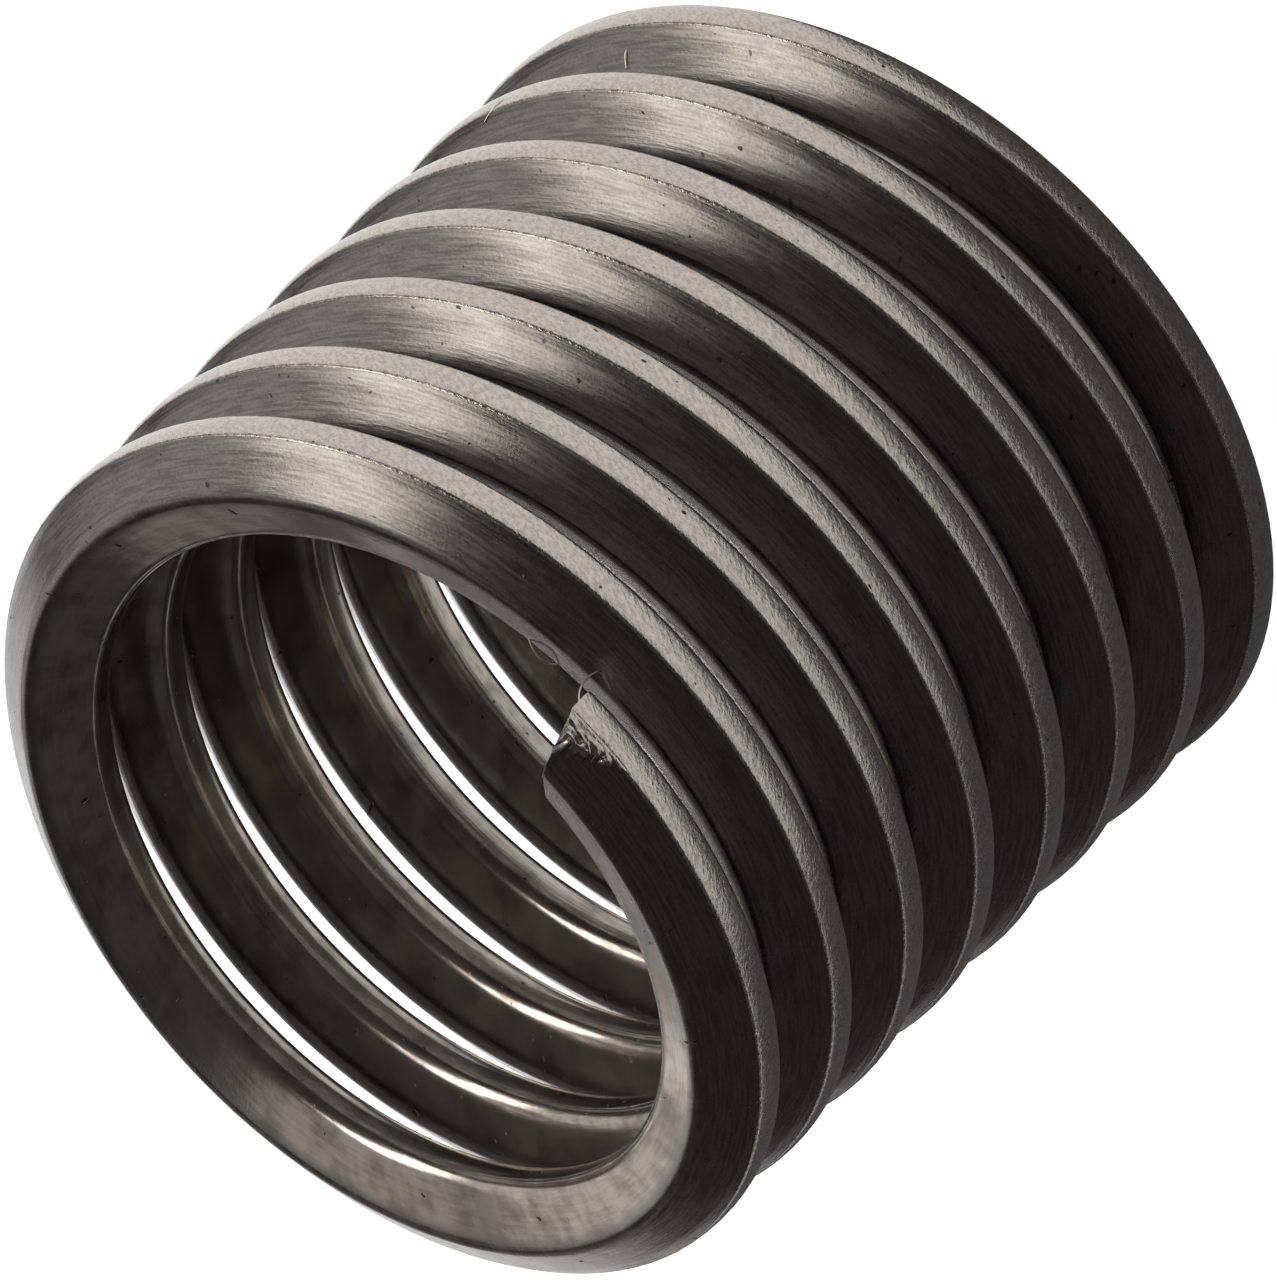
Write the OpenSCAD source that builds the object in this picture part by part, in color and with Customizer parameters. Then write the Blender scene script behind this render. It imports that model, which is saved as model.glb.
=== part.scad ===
// Free wire thread insert: one length of diamond-section wire, wound as a right-hand coil.
// It stands on its far end, with the coil's axis along +Z and its lowest edge at Z = 0.

/* [Coil] */
// Diameter over the outer crests of the free coil
outer_d = 17.2; // [16:0.1:19]
// Diameter of the coil along the middle line of the wire
middle_d = 15.1; // [14.6:0.1:15.6]
// Diameter of the bore inside the inner crests
bore_d = 13.2; // [11:0.1:14]
// Rise of the wire in one turn
pitch = 2.2; // [2:0.02:4]
// Turns from one sheared end to the other
turns = 7.5; // [2.25:0.25:12]

/* [Wire] */
// Width of the wire across its two ridges
wire_w = 1.8; // [1.5:0.01:1.9]
// Angle between the two flanks that meet at a crest
flank_angle = 60; // [40:1:70]
// Width of the blunt nose on each ridge
ridge_nose = 0.08; // [0.02:0.01:0.3]
// Lean of the section, which carries the outer crest towards the far end
section_lean = 6; // [0:0.5:12]

/* [Sheared ends] */
// Angle by which the shear runs on from the ridges to the outer crest
shear_skew = 4; // [0:0.5:8]

/* [Quality] */
// Sections swept in one turn
turn_steps = 48; // [24:4:60]

/* [Hidden] */
$fn = 96;

// Radii of the two crests and of the wire's middle line, and how far each crest stands from that line
outer_r = outer_d / 2;
bore_r = bore_d / 2;
middle_r = middle_d / 2;
outer_depth = outer_r - middle_r;
inner_depth = middle_r - bore_r;

// The swept section stands past both crests by this much, and two cylinders then cut the crests round
crest_stock = 0.15;
// A crest is left at least this wide, however deep the flanks are
least_crest_w = 0.1;

// Half the section's width at a distance out from the middle line
function half_w(out) = max(
    least_crest_w / 2,
    wire_w / 2 - (abs(out) - ridge_nose / 2) * tan(flank_angle / 2)
);

// Corners of the upright section, as distance out from the middle line and height:
// down the upper side from the outer to the inner crest, and back along the lower side
stops = [outer_depth + crest_stock, ridge_nose / 2, -ridge_nose / 2, -inner_depth - crest_stock];
last_stop = len(stops) - 1;
upright = concat(
    [for (out = stops) [out, half_w(out)]],
    [for (i = [last_stop : -1 : 0]) [stops[i], -half_w(stops[i])]]
);
corner_count = len(upright);

// The section leaned about the middle line
section = [
    for (corner = upright) [
        corner.x * cos(section_lean) + corner.y * sin(section_lean),
        corner.y * cos(section_lean) - corner.x * sin(section_lean)
    ]
];

// The shear turns each corner on by its distance out, and its height follows the helix
function skew(corner) = shear_skew * corner.x / outer_depth;
function rise(angle) = pitch * angle / 360;
lowest = min([for (corner = section) corner.y + rise(skew(corner))]);
function placed(angle, corner) = let (
    turned = angle + skew(corner),
    r = middle_r + corner.x
) [r * sin(turned), -r * cos(turned), corner.y + rise(turned) - lowest];

// Bare wire: the section swept along the helix, with its far end at -Y and a flat face at each end
module swept_wire() {
    steps = ceil(turns * turn_steps);
    points = [
        for (i = [0 : steps], corner = section) placed(360 * turns * i / steps, corner)
    ];
    far_face = [for (c = [0 : corner_count - 1]) c];
    near_face = [for (c = [corner_count - 1 : -1 : 0]) steps * corner_count + c];
    sides = [
        for (i = [0 : steps - 1], c = [0 : corner_count - 1])
            let (here = i * corner_count, on = here + corner_count, next = (c + 1) % corner_count)
                [here + c, on + c, on + next, here + next]
    ];
    polyhedron(points, concat([far_face, near_face], sides), convexity = 20);
}

// Wound insert: the swept wire cut round at the outer crest and at the bore
module wire_coil() {
    below = -wire_w;
    reach = rise(360 * turns) + 4 * wire_w;
    color("dimgray")
    difference() {
        intersection() {
            swept_wire();
            translate([0, 0, below]) cylinder(r = outer_r, h = reach);
        }
        translate([0, 0, below]) cylinder(r = bore_r, h = reach);
    }
}

wire_coil();
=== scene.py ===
# %% [markdown]
# # A wire thread insert, dressed in Blender
#
# The part is one length of diamond-section wire, wound into a coil. It is screwed into an oversize
# tapped hole and lines it with a new thread. The packed solid already has the coil's true size, so
# this lesson gives it the rounded edges, the drawn lines, the frosted crest and the torn end of the
# real wire.

# %% Load the packed part
import math

import bmesh
import bpy
from mathutils import Matrix, Quaternion, Vector, noise


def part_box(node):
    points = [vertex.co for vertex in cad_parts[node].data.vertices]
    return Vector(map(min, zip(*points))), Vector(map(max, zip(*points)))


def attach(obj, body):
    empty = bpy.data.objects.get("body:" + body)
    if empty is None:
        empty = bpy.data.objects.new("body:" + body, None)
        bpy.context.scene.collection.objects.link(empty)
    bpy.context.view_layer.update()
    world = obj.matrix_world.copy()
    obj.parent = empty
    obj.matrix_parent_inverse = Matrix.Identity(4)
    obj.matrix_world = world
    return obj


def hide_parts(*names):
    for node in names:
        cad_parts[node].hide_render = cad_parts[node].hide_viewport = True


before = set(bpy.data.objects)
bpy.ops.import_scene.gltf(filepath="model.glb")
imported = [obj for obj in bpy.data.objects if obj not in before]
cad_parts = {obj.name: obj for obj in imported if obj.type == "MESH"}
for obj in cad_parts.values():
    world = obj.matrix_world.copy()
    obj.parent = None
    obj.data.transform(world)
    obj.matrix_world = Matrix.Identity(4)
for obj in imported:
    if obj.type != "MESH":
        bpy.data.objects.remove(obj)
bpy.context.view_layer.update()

MM = 0.001
coil_low, coil_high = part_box("wire_coil")
coil_middle = Vector((0, 0, (coil_low.z + coil_high.z) / 2))
print("solid coil, mm:", [round(c / MM, 3) for c in coil_high - coil_low])

# %% [markdown]
# ## The wire's section
#
# The real wire is rolled to a diamond and then wound, which leans the diamond over and leaves a narrow
# crest outside and inside. The section could be drawn as a list of corners. Here a diamond of four
# points is leaned and then cut off by two planes, as the rolls do it, so the crests follow from the
# wire's few sizes. Distances are measured out from the middle line of the wire, and up along the coil.

# %% A leaned diamond, cut off at both crests
outer_r = (coil_high.x - coil_low.x) / 2
middle_r, bore_r = 7.55 * MM, 6.5 * MM
outer_crest, inner_crest = outer_r - middle_r, bore_r - middle_r
wire_w, flank_angle, section_lean = 1.84 * MM, math.radians(60), math.radians(6)

half_w = wire_w / 2
half_reach = half_w / math.tan(flank_angle / 2)
coil = bmesh.new()
path_layer = coil.verts.layers.float_vector.new("wire_path")
frost_layer = coil.verts.layers.float.new("frosting")
diamond = [(0, half_w), (half_reach, 0), (0, -half_w), (-half_reach, 0)]
coil.faces.new([coil.verts.new((out, up, 0)) for out, up in diamond])
leaned = Matrix.Rotation(-section_lean, 3, "Z")
bmesh.ops.rotate(coil, verts=list(coil.verts), cent=(0, 0, 0), matrix=leaned)
for crest in (outer_crest, inner_crest):
    everything = list(coil.verts) + list(coil.edges) + list(coil.faces)
    side = math.copysign(1, crest)
    bmesh.ops.bisect_plane(
        coil, geom=everything, plane_co=(crest, 0, 0), plane_no=(side, 0, 0), clear_outer=True,
    )
print("corners, mm:", sorted((round(v.co.x / MM, 3), round(v.co.y / MM, 3)) for v in coil.verts))

# %% [markdown]
# ## Rounded corners and a crowned crest
#
# No corner of a drawn wire is sharp, and each has its own rounding: small at the outer crest, larger at
# the ridges and at the inner crest, which the winding mandrel has pressed. Bevelling the corners of this
# flat outline is enough, because every turn of the coil repeats them. The outer crest isn't flat either:
# it is crowned like a worn tyre, so that its near half mirrors another part of the studio than its far
# half. A few hundredths of a millimetre are enough, pressed into the points of the outline.

# %% Round the corners and divide the long sides
ridge_rounding, inner_rounding = 0.14 * MM, 0.22 * MM
outer_rounding, outer_far_rounding = 0.05 * MM, 0.10 * MM
almost = 0.99
near_edge_up = max(v.co.y for v in coil.verts if v.co.x > outer_crest * almost)
for corner in list(coil.verts):
    if corner.co.x > outer_crest * almost:
        rounding = outer_rounding if corner.co.y > 0 else outer_far_rounding
    elif corner.co.x < inner_crest * almost:
        rounding = inner_rounding
    else:
        rounding = ridge_rounding
    bmesh.ops.bevel(
        coil, geom=[corner], offset=rounding, offset_type="OFFSET", affect="VERTICES",
        segments=5, profile=0.5, material=-1,
    )
bmesh.ops.delete(coil, geom=list(coil.faces), context="FACES_ONLY")
crest_length, flank_length = 0.3 * MM, 0.8 * MM
flanks = [edge for edge in coil.edges if edge.calc_length() > flank_length]
crests = [edge for edge in coil.edges if crest_length < edge.calc_length() <= flank_length]
bmesh.ops.subdivide_edges(coil, edges=flanks, cuts=6)
bmesh.ops.subdivide_edges(coil, edges=crests, cuts=9)
print("section:", len(coil.verts), "points")
print("near edge of the outer crest at", round(near_edge_up / MM, 3), "mm")

# %% Crown the outer crest
crown = 0.045 * MM
crest_band = [v for v in coil.verts if v.co.x > outer_crest - 2 * outer_rounding]
crest_low, crest_high = min(v.co.y for v in crest_band), max(v.co.y for v in crest_band)
for vert in crest_band:
    across = (2 * vert.co.y - crest_low - crest_high) / (crest_high - crest_low)
    vert.co.x -= crown * across ** 2
print("crest:", len(crest_band), "points over", round((crest_high - crest_low) / MM, 3), "mm")

# %% [markdown]
# ## Winding the coil
#
# A screw modifier could wind the section, but the spin operator leaves a mesh that can still be worked
# on. It turns the section about the coil's axis and lifts it a little at each step. Half a turn is spun
# and then repeated up the axis, which is much quicker than one long spin. The section starts at the far
# end with its outer crest turned on, because the shear that cut the wire ran aslant. Every point keeps
# its place on the straightened wire in an attribute: along it, out and up.

# %% Place the section at the far end
pitch, turns = 2.2 * MM, 7.5
shear_skew = math.radians(4)
middle_z = 0.9005 * MM
frost_depth = 0.012 * MM


def rise(angle):
    """How far the wire climbs while it turns by an angle."""
    return pitch * angle / math.tau


def on_wire(along, out, up):
    """The place in the coil of a point on the straightened wire."""
    turned = along / middle_r + shear_skew * out / outer_crest
    r = middle_r + out
    return Vector((r * math.sin(turned), -r * math.cos(turned), up + rise(turned) + middle_z))


for vert in coil.verts:
    out, up = vert.co.x, vert.co.y
    vert[path_layer] = (0, out, up)
    vert[frost_layer] = float(out > outer_crest - crown - frost_depth)
    vert.co = on_wire(0, out, up)
print("section placed,", sum(v[frost_layer] > 0 for v in coil.verts), "points on the frosted crest")

# %% Spin half a turn and repeat it
half_turn_steps = 60
half_turns = round(turns * 2)
bmesh.ops.spin(
    coil, geom=list(coil.verts) + list(coil.edges), cent=(0, 0, 0), axis=(0, 0, 1),
    dvec=(0, 0, rise(math.pi) / half_turn_steps), angle=math.pi, steps=half_turn_steps,
    use_merge=False, use_duplicate=False,
)
first_half = list(coil.verts) + list(coil.edges) + list(coil.faces)
for i in range(1, half_turns):
    copied = bmesh.ops.duplicate(coil, geom=first_half)["geom"]
    copied_verts = [part for part in copied if isinstance(part, bmesh.types.BMVert)]
    turned_on = Matrix.Rotation(math.pi * i, 3, "Z")
    bmesh.ops.rotate(coil, verts=copied_verts, cent=(0, 0, 0), matrix=turned_on)
    bmesh.ops.translate(coil, verts=copied_verts, vec=(0, 0, rise(math.pi) * i))
bmesh.ops.remove_doubles(coil, verts=list(coil.verts), dist=0.002 * MM)
for vert in coil.verts:
    _, out, up = vert[path_layer]
    turned = (vert.co.z - up - middle_z) / pitch * math.tau
    vert[path_layer] = ((turned - shear_skew * out / outer_crest) * middle_r, out, up)
wire_length = turns * math.tau * middle_r
print("wire:", round(wire_length / MM, 1), "mm long,", len(coil.faces), "faces")

# %% [markdown]
# ## The torn end
#
# The shear didn't cut cleanly: near the end it dragged metal from the frosted crest over half of the
# flank, as a ragged patch that tapers off in about a millimetre. A sculpted patch would be a piece of its
# own, so here the last turn gets finer steps instead, and its points are lifted where the patch lies.
# The frosting attribute takes the patch in, so that the finish follows the same outline.

# %% Finer steps near the end
torn_length, torn_w = 1.4 * MM, 0.5 * MM
long_step = 0.1 * MM


def to_end(vert):
    """The length of wire from a point to the torn end."""
    return wire_length - vert[path_layer].x


def near_torn_metal(vert):
    """Whether a point may carry dragged metal."""
    _, out, up = vert[path_layer]
    on_flank = out > outer_crest - 1.5 * torn_w and up > near_edge_up - outer_rounding
    return on_flank and to_end(vert) < torn_length


long_edges = [
    edge for edge in coil.edges
    if max(to_end(vert) for vert in edge.verts) < 1.2 * torn_length
    and abs(to_end(edge.verts[0]) - to_end(edge.verts[1])) > long_step
]
bmesh.ops.subdivide_edges(coil, edges=long_edges, cuts=3)
patch_edges = [edge for edge in coil.edges if all(near_torn_metal(vert) for vert in edge.verts)]
bmesh.ops.subdivide_edges(coil, edges=patch_edges, cuts=3, use_grid_fill=True)
print("torn end:", sum(near_torn_metal(vert) for vert in coil.verts), "points to work on")

# %% Lift the dragged metal
ripple_size, border_w = 0.12 * MM, 0.03 * MM
lifted = 0
for vert in coil.verts:
    along, out, up = vert[path_layer]
    if not near_torn_metal(vert):
        continue
    ripple = noise.noise(Vector((along, out, up)) / ripple_size)
    sunk = outer_crest - out
    reach = torn_w * (1 - to_end(vert) / torn_length) * (1 + 0.7 * ripple)
    patch = min(max((reach - sunk) / border_w + 0.5, 0), 1)
    lift = patch * sunk * (0.72 + 0.12 * ripple)
    vert.co += Vector((vert.co.x, vert.co.y, 0)).normalized() * lift
    vert[frost_layer] = max(vert[frost_layer], patch)
    lifted += patch > 0
print("dragged metal:", lifted, "points lifted")

# %% Roughen the cut and close both ends
edge_roughness, rim_bevel, at_end = 0.02 * MM, 0.02 * MM, 0.01 * MM
for vert in coil.verts:
    if to_end(vert) < at_end:
        shift = edge_roughness * noise.noise(vert[path_layer] / ripple_size)
        vert.co.rotate(Quaternion((0, 0, 1), shift / middle_r))
open_edges = [edge for edge in coil.edges if edge.is_boundary]
end_faces = bmesh.ops.holes_fill(coil, edges=open_edges)["faces"]
rims = list({edge for face in end_faces for edge in face.edges})
bmesh.ops.bevel(
    coil, geom=rims, offset=rim_bevel, offset_type="OFFSET", affect="EDGES",
    segments=2, profile=0.5, material=-1, clamp_overlap=True,
)
bmesh.ops.recalc_face_normals(coil, faces=list(coil.faces))
print("coil:", len(coil.faces), "faces, height", round(max(v.co.z for v in coil.verts) / MM, 3), "mm")

# %% Make it an object that stands for the solid
coil_mesh = bpy.data.meshes.new("wound_wire")
coil.to_mesh(coil_mesh)
coil.free()
for polygon in coil_mesh.polygons:
    polygon.use_smooth = len(polygon.vertices) == 4
wound_wire = bpy.data.objects.new("wound_wire", coil_mesh)
bpy.context.scene.collection.objects.link(wound_wire)
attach(wound_wire, "root")
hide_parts("wire_coil")
print("wound wire:", len(coil_mesh.polygons), "faces, smooth but for the two cut ends")

# %% [markdown]
# ## Loose burrs
#
# The shear and the rolls left a few threads of metal, thinner than a hair: two loops beside the torn end
# and three slivers farther on. A mesh worked by hand would be wasted on them. A curve with a round
# bevel follows a few places on the straightened wire, and both ends are sunk into the wire. The places
# are in millimetres: along the wire from a start, out and up.

# %% Threads of metal on the wire
one_turn = math.tau * middle_r
end_loop = [
    (-0.04, 1.0, -0.02), (0.12, 0.95, -0.18), (0.3, 0.78, -0.63), (0.33, 0.63, -1.07),
    (0.31, 0.51, -1.23), (0.27, 0.32, -1.3), (0.18, 0.12, -1.37), (0.0, 0.0, -1.36),
]
bore_loop = [
    (2.46, -0.81, 0.46), (2.3, -0.89, 0.56), (2.01, -0.95, 0.61), (1.73, -0.9, 0.54), (1.6, -0.83, 0.45),
]
crest_slivers = [
    [(0.6, 0.9, 0.34), (0.4, 1.02, 0.2), (0.2, 1.042, -0.02), (0.12, 1.0, -0.1)],
    [(0.08, 1.02, -0.1), (-0.05, 1.045, -0.24), (-0.16, 0.98, -0.36)],
]
flank_sliver = [(-0.06, 0.72, 0.33), (0.02, 0.66, 0.5), (0.07, 0.56, 0.59), (0.14, 0.4, 0.69)]
burrs = [
    (wire_length, 0.018, end_loop),
    (wire_length - one_turn, 0.016, bore_loop),
    (81 * MM, 0.02, crest_slivers[0]),
    (81 * MM, 0.02, crest_slivers[1]),
    (32.6 * MM, 0.03, flank_sliver),
]
print("burrs:", [len(places) for start, thread_r, places in burrs], "places each")

# %% [markdown]
# Five objects would do as well, but one curve with five splines is one piece. Each point's radius is the
# thread's own, in metres, and the bevel depth of 1 leaves it as it is.

# %% One curve for all threads
thread_curve = bpy.data.curves.new("burr_threads", "CURVE")
thread_curve.dimensions = "3D"
thread_curve.bevel_depth = 1.0
thread_curve.bevel_resolution = 1
thread_curve.resolution_u = 4
for start, thread_r, places in burrs:
    spline = thread_curve.splines.new("NURBS")
    spline.points.add(len(places) - 1)
    spline.order_u = 3
    spline.use_endpoint_u = True
    for point, (along, out, up) in zip(spline.points, places):
        point.co = (*on_wire(start + along * MM, out * MM, up * MM), 1)
        point.radius = thread_r * MM
burr_threads = bpy.data.objects.new("burr_threads", thread_curve)
bpy.context.scene.collection.objects.link(burr_threads)
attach(burr_threads, "root")
print("burr threads:", len(thread_curve.splines), "splines")

# %% [markdown]
# ## Shader maths in Python
#
# A material's nodes can be wired one by one, but sums are easier to read as sums. This small class
# wraps a socket, and Python's own operators then add the Math nodes.

# %% A socket with operators


class Socket:
    """An output socket whose operators add Math nodes to its material."""

    def __init__(self, output):
        self.output = output
        self.tree = output.id_data

    @staticmethod
    def node(tree, kind, settings, inputs, output=0):
        """Any node: its settings first, then the values or links of its sockets."""
        made = tree.nodes.new(kind)
        for name, value in settings.items():
            setattr(made, name, value)
        for name, value in inputs.items():
            if isinstance(value, Socket):
                tree.links.new(value.output, made.inputs[name])
            else:
                made.inputs[name].default_value = value
        return Socket(made.outputs[output])

    def math(self, operation, first, second):
        return Socket.node(self.tree, "ShaderNodeMath", {"operation": operation}, {0: first, 1: second})

    def __add__(self, other):
        return self.math("ADD", self, other)

    def __radd__(self, other):
        return self.math("ADD", other, self)

    def __sub__(self, other):
        return self.math("SUBTRACT", self, other)

    def __rsub__(self, other):
        return self.math("SUBTRACT", other, self)

    def __mul__(self, other):
        return self.math("MULTIPLY", self, other)

    def __rmul__(self, other):
        return self.math("MULTIPLY", other, self)

    def step(self, start, end):
        """0 before start and 1 after end, with a soft passage between them."""
        settings = {"interpolation_type": "SMOOTHSTEP", "clamp": True}
        inputs = {"Value": self, "From Min": start, "From Max": end, "To Min": 0.0, "To Max": 1.0}
        return Socket.node(self.tree, "ShaderNodeMapRange", settings, inputs)

    def blend(self, first, second):
        """The first colour where this is 0, and the second where it is 1."""
        settings = {"data_type": "RGBA"}
        inputs = {0: self}
        for place, colour in ((6, first), (7, second)):
            inputs[place] = colour if isinstance(colour, Socket) else (*colour, 1)
        return Socket.node(self.tree, "ShaderNodeMix", settings, inputs, output=2)


print("socket methods:", [name for name in vars(Socket) if not name.startswith("__")])

# %% [markdown]
# ## Drawn stainless wire
#
# The flanks carry fine lines from the drawing die, which run along the wire, and the crests are frosted
# with a fine grain. The attribute holds the straightened wire, so a noise that is stretched along it
# follows every turn, which no flat projection would do.

# %% Patterns on the straightened wire
finish = bpy.data.materials.new("drawn_stainless")
finish.use_nodes = True
tree = finish.node_tree
shader = tree.nodes["Principled BSDF"]
path = Socket.node(tree, "ShaderNodeAttribute", {"attribute_name": "wire_path"}, {}, output=1)
frosting = Socket.node(tree, "ShaderNodeAttribute", {"attribute_name": "frosting"}, {}, output=2)
place = Socket.node(tree, "ShaderNodeTexCoord", {}, {}, output=3)


def parts(vector):
    """The three numbers of a vector socket."""
    split = tree.nodes.new("ShaderNodeSeparateXYZ")
    tree.links.new(vector.output, split.inputs[0])
    return [Socket(output) for output in split.outputs]


along, out, up = parts(path)
x, y, _ = parts(place)


def marks(length, width, detail=2.0, slant=0.0):
    """Noise on the straightened wire, in marks about so long and so wide, slanted across it."""
    stretched = {"X": (along + slant * up) * (1 / length), "Y": up * (1 / width)}
    flat = Socket.node(tree, "ShaderNodeCombineXYZ", {}, stretched)
    inputs = {"Vector": flat, "Scale": 1.0, "Detail": detail, "Roughness": 0.6}
    return Socket.node(tree, "ShaderNodeTexNoise", {"noise_dimensions": "2D"}, inputs)


drawn_lines = marks(0.8 * MM, 0.035 * MM)
stains = marks(0.9 * MM, 0.5 * MM, detail=3.0)
grain = marks(0.06 * MM, 0.04 * MM, detail=1.0)
wrinkles = marks(0.11 * MM, 0.12 * MM, detail=3.0, slant=0.7)
pits = marks(0.16 * MM, 0.10 * MM, detail=0.0)
print("patterns on the wire:", len(tree.nodes), "nodes")

# %% [markdown]
# ## Where each finish lies
#
# A mask is 1 where its finish lies and 0 elsewhere. The ragged border of the dragged metal comes from
# adding grain to the frosting before it is cut to a mask. Inside the coil the wire is browner. On one
# side a narrow band of the upper flank carries a painted glint, bright and smooth, which shows through
# the gaps. The last turn is left without it.

# %% Masks
# The side of the coil that carries the painted glint, as a direction across the coil.
glint_x, glint_y = 0.34, 0.94
frosted = (frosting + 0.5 * (grain - 0.5)).step(0.35, 0.6)
inside = 1 - out.step(-0.25 * MM, 0.05 * MM)
pitted = pits.step(0.84, 0.88) * stains.step(0.5, 0.6)
stained = stains.step(0.3, 0.8)
# The band of the upper flank inside where the painted glint lies.
glint_band = out.step(-0.7 * MM, -0.6 * MM) * (1 - out.step(-0.46 * MM, -0.4 * MM)) * up.step(0, 0.2 * MM)
last_turn = along.step(wire_length - 1.02 * one_turn, wire_length - one_turn)
glint_side = (glint_x * x + glint_y * y).step(0, 2 * MM)
painted_glint = glint_band * glint_side * (1 - last_turn)
print("masks:", len(tree.nodes), "nodes so far")

# %% [markdown]
# ## Colour, roughness and bump
#
# Bare metal takes its look from what it mirrors, so its colours are quiet: dark flanks, a paler grained
# crest and a stained brown inside. The lines and the grain matter more in the roughness and in the bump,
# where they spread the highlights along the wire.

# %% Colours
flank_dark, flank_light = (0.12, 0.113, 0.107), (0.2, 0.19, 0.178)
inner_light, inner_brown = (0.41, 0.378, 0.345), (0.2, 0.177, 0.155)
crest_dark, crest_light = (0.3, 0.273, 0.252), (0.42, 0.388, 0.358)
# The first colour on the next line is a painted glint for one side's band of the upper flank; the second
# is dirt in the pits.
glint_paint, pit_dirt = (0.6, 0.58, 0.56), (0.06, 0.05, 0.045)
flank_colour = (0.7 * drawn_lines + 0.3 * grain).step(0.3, 0.7).blend(flank_dark, flank_light)
inner_colour = (0.5 * stained + 0.5 * drawn_lines).step(0.1, 0.9).blend(inner_light, inner_brown)
# Paint the glint onto its band inside the coil.
inner_colour = painted_glint.blend(inner_colour, glint_paint)
crest_colour = (0.4 * grain + 0.6 * wrinkles).step(0.36, 0.62).blend(crest_dark, crest_light)
colour = frosted.blend(inside.blend(flank_colour, inner_colour), crest_colour)
colour = pitted.blend(colour, pit_dirt)
tree.links.new(colour.output, shader.inputs["Base Color"])
print("colours:", len(tree.nodes), "nodes so far")

# %% Roughness and bump
outer_roughness = 0.2 + 0.1 * drawn_lines + 0.06 * stained + frosted * (0.08 * grain - 0.04)
inner_roughness = (0.14 + 0.08 * drawn_lines + 0.05 * stained) * (1 - 0.72 * painted_glint)
roughness = outer_roughness + inside * (inner_roughness - outer_roughness) + 0.25 * pitted
tree.links.new(roughness.output, shader.inputs["Roughness"])
shader.inputs["Metallic"].default_value = 1.0
flank_height = 0.6 * drawn_lines + 0.25 * grain
crest_height = 0.5 * grain + 2.0 * wrinkles
flank_height = flank_height * (1 - 0.6 * inside) * (1 - 0.7 * painted_glint)
height = flank_height + frosted * (crest_height - flank_height) + 1.5 * painted_glint * wrinkles - pitted
bump_inputs = {"Strength": 0.55, "Distance": 0.01 * MM, "Height": height}
bump = Socket.node(tree, "ShaderNodeBump", {}, bump_inputs)
tree.links.new(bump.output, shader.inputs["Normal"])
wound_wire.data.materials.append(finish)
print("finish:", len(tree.nodes), "nodes")

# %% [markdown]
# ## Torn metal of the burrs
#
# The threads are fresh metal that the tool tore off, brighter than the wire and spotted. They have no
# place on the straightened wire, so their noise is read at the object's own coordinates.

# %% Bright metal of the burrs
spot_size = 0.15 * MM
torn_metal = bpy.data.materials.new("torn_metal")
torn_metal.use_nodes = True
torn_tree = torn_metal.node_tree
torn_shader = torn_tree.nodes["Principled BSDF"]
torn_place = Socket.node(torn_tree, "ShaderNodeTexCoord", {}, {}, output=3)
spot_inputs = {"Vector": torn_place, "Scale": 1 / spot_size, "Detail": 1.0}
spots = Socket.node(torn_tree, "ShaderNodeTexNoise", {}, spot_inputs)
torn_colour = spots.step(0.35, 0.65).blend((0.4, 0.37, 0.34), (0.6, 0.57, 0.54))
torn_tree.links.new(torn_colour.output, torn_shader.inputs["Base Color"])
torn_roughness = 0.25 + 0.2 * spots
torn_tree.links.new(torn_roughness.output, torn_shader.inputs["Roughness"])
torn_shader.inputs["Metallic"].default_value = 1.0
burr_threads.data.materials.append(torn_metal)
print("torn metal:", len(torn_tree.nodes), "nodes")

# %% [markdown]
# ## The floor
#
# The part stands on white paper. More light on the floor would bleach the metal too, so the paper glows
# a little instead, but only for rays from the camera and for rays that the metal mirrors. The lamps still
# draw the coil's shadow on it.

# %% Floor
floor_half = 0.6
floor_mesh = bmesh.new()
bmesh.ops.create_grid(floor_mesh, x_segments=1, y_segments=1, size=floor_half)
floor_data = bpy.data.meshes.new("floor")
floor_mesh.to_mesh(floor_data)
floor_mesh.free()
floor = bpy.data.objects.new("floor", floor_data)
bpy.context.scene.collection.objects.link(floor)
print("floor:", 2 * floor_half, "m on a side")

# %% White paper
paper_glow = 0.9
paper = bpy.data.materials.new("white_paper")
paper.use_nodes = True
paper_tree = paper.node_tree
paper_shader = paper_tree.nodes["Principled BSDF"]
paper_shader.inputs["Base Color"].default_value = (0.85, 0.85, 0.85, 1)
paper_shader.inputs["Roughness"].default_value = 0.9
paper_shader.inputs["Emission Color"].default_value = (1, 1, 1, 1)
ray = paper_tree.nodes.new("ShaderNodeLightPath")
camera_ray, glossy_ray, clear_ray = (
    Socket(ray.outputs[name]) for name in ("Is Camera Ray", "Is Glossy Ray", "Is Transmission Ray")
)
shown = camera_ray.math("MAXIMUM", camera_ray, camera_ray.math("MAXIMUM", glossy_ray, clear_ray))
paper_tree.links.new((shown * paper_glow).output, paper_shader.inputs["Emission Strength"])
floor.data.materials.append(paper)
print("white paper:", len(paper_tree.nodes), "nodes")

# %% [markdown]
# ## Light
#
# A tall soft light at the left draws the highlight along the flanks, and a dim wide one behind the coil
# fills the grazing sides. Three small ones do for single faces what bounced light does in a studio: the
# far side, the rim beside the bore and the lower rim. Each is placed by its direction from the coil.

# %% World
world = bpy.data.worlds.new("dim_studio")
bpy.context.scene.world = world
world.use_nodes = True
backdrop = world.node_tree.nodes["Background"]
backdrop.inputs["Color"].default_value = (0.08, 0.07, 0.065, 1)
print("world:", world.name)

# %% Soft lights


def towards(azimuth, elevation):
    """A direction by its turn from +X about +Z, and its height above the floor."""
    a, e = math.radians(azimuth), math.radians(elevation)
    return Vector((math.cos(a) * math.cos(e), math.sin(a) * math.cos(e), math.sin(e)))


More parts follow.
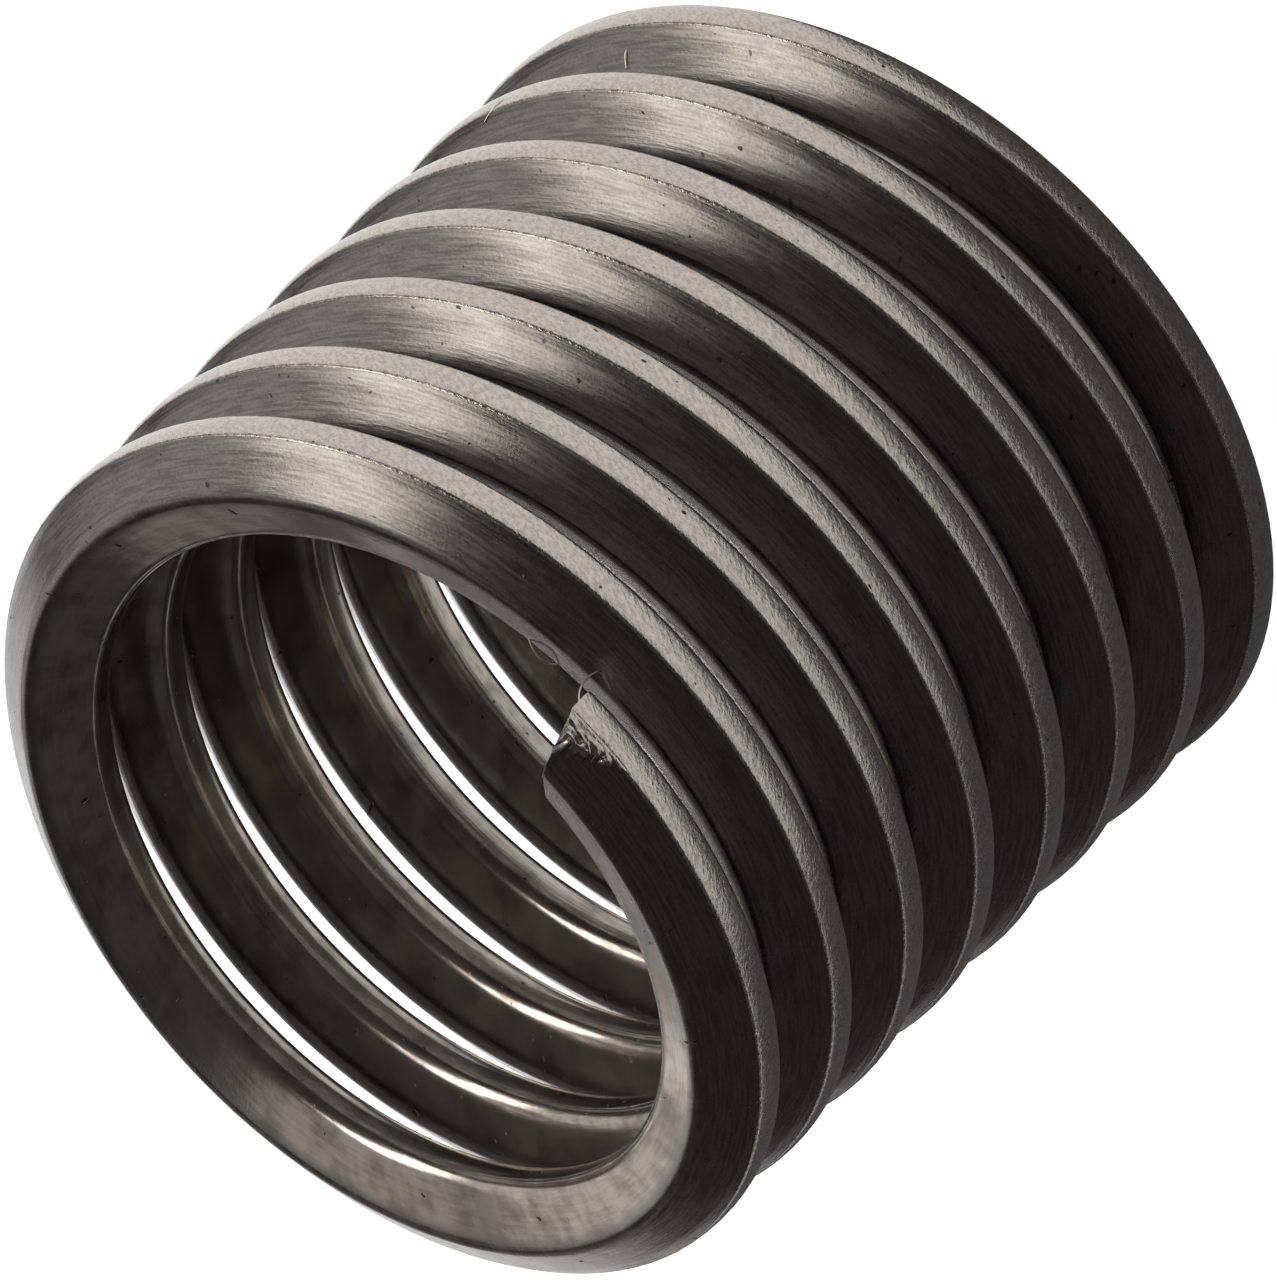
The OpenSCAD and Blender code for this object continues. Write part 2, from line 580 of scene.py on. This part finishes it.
def soft_light(name, azimuth, elevation, distance, sides, watts, colour):
    """A rectangular lamp that faces the middle of the coil."""
    lamp = bpy.data.lights.new(name, "AREA")
    lamp.shape = "RECTANGLE"
    lamp.size, lamp.size_y = sides
    lamp.energy = watts
    lamp.color = colour
    placed = bpy.data.objects.new(name, lamp)
    direction = towards(azimuth, elevation)
    placed.location = coil_middle + direction * distance
    placed.rotation_mode = "QUATERNION"
    placed.rotation_quaternion = direction.to_track_quat("Z", "Y")
    bpy.context.scene.collection.objects.link(placed)


soft_light("key_softbox", 180, 40, 0.25, (0.09, 0.19), 0.27, (1.0, 0.96, 0.9))
soft_light("back_softbox", 232, 28, 0.30, (0.40, 0.16), 0.18, (1.0, 0.97, 0.95))
soft_light("far_softbox", 290, 14, 0.30, (0.16, 0.12), 0.016, (1.0, 0.98, 0.95))
soft_light("horizon_strip", 262, 4, 0.30, (0.16, 0.04), 0.024, (1.0, 0.98, 0.95))
soft_light("top_softbox", 224, 61, 0.30, (0.16, 0.15), 0.040, (1.0, 0.97, 0.95))
print("lights:", [lamp.name for lamp in bpy.data.lights])

# %% [markdown]
# ## A painted shadow on the floor
#
# The crests at the right mirror the floor, and without help they would be as white as the paper. A flat
# dark sheet on the floor is a painted shadow of the coil there: a fan beside the coil, and a ring that is
# cut like a shadow. It is hidden from the camera and casts no shadow, so only the metal shows it.

# %% Shape of the painted shadow
# The dark sheet is painted shade: it stands for the coil's shadow on the floor, as the metal mirrors it.
card_inner, card_outer, card_height = 9.6 * MM, 80 * MM, 0.3 * MM
card_from, card_to = math.radians(-60), math.radians(36)
shade_hole, shade_r, shade_height = 6.5 * MM, 24 * MM, 0.05 * MM
shade_shift = towards(15, 0) * 17 * MM
fan = bmesh.new()
card_edge = Vector((math.cos(card_from), math.sin(card_from), 0))
card_lift = Vector((0, 0, card_height))
near_point, far_point = (fan.verts.new(card_edge * r + card_lift) for r in (card_inner, card_outer))
straight = fan.edges.new((near_point, far_point))
bmesh.ops.spin(
    fan, geom=[near_point, far_point, straight], cent=(0, 0, 0), axis=(0, 0, 1), dvec=(0, 0, 0),
    angle=card_to - card_from, steps=12, use_merge=False, use_duplicate=False,
)
shade_edges = []
for radius, shift in ((shade_hole, Vector()), (shade_r, shade_shift)):
    place = Matrix.Translation(shift + Vector((0, 0, shade_height)))
    rim = bmesh.ops.create_circle(fan, cap_ends=False, segments=48, radius=radius, matrix=place)["verts"]
    shade_edges += list({edge for vert in rim for edge in vert.link_edges})
bmesh.ops.bridge_loops(fan, edges=shade_edges)
bmesh.ops.recalc_face_normals(fan, faces=list(fan.faces))
shadow_card_data = bpy.data.meshes.new("painted_floor_shadow")
fan.to_mesh(shadow_card_data)
fan.free()
shadow_card = bpy.data.objects.new("painted_floor_shadow", shadow_card_data)
shadow_card.visible_camera = False
shadow_card.visible_shadow = False
bpy.context.scene.collection.objects.link(shadow_card)
print("dark card:", len(shadow_card_data.polygons), "faces")

# %% Finish of the painted shadow
black = bpy.data.materials.new("painted_floor_shadow")
black.use_nodes = True
black_shader = black.node_tree.nodes["Principled BSDF"]
# Near black with a faint glow: the darkness of the painted shadow.
black_shader.inputs["Base Color"].default_value = (0.03, 0.03, 0.03, 1)
black_shader.inputs["Roughness"].default_value = 0.9
black_shader.inputs["Emission Color"].default_value = (1, 1, 1, 1)
black_shader.inputs["Emission Strength"].default_value = 0.1
shadow_card.data.materials.append(black)
print("finish of the card:", black.name)

# %% [markdown]
# ## Camera
#
# The camera is placed by its direction, its roll and its distance, and aimed a little beside the middle of
# the coil. The dressed part must not outgrow the solid.

# %% Camera
camera_azimuth, camera_elevation, camera_roll = 96.152, 36.670, 134.247
camera_distance = 396.98 * MM
lens_pixels, image_height = 22355.8, 1280
aim_right, aim_down = 0.197 * MM, 0.221 * MM
camera_data = bpy.data.cameras.new("camera")
camera_data.sensor_width = 36
camera_data.lens = lens_pixels * camera_data.sensor_width / image_height
camera = bpy.data.objects.new("camera", camera_data)
back = towards(camera_azimuth, camera_elevation)
turn = back.to_track_quat("Z", "Y") @ Quaternion((0, 0, 1), math.radians(-camera_roll))
view_right, view_up = turn @ Vector((1, 0, 0)), turn @ Vector((0, 1, 0))
camera.rotation_mode = "QUATERNION"
camera.rotation_quaternion = turn
aim = coil_middle + view_right * aim_right - view_up * aim_down
camera.location = aim + back * camera_distance
bpy.context.scene.collection.objects.link(camera)
bpy.context.scene.camera = camera
bpy.context.scene.view_settings.view_transform = "Standard"
print("camera axes:", [round(c, 4) for c in view_right], [round(c, 4) for c in view_up])
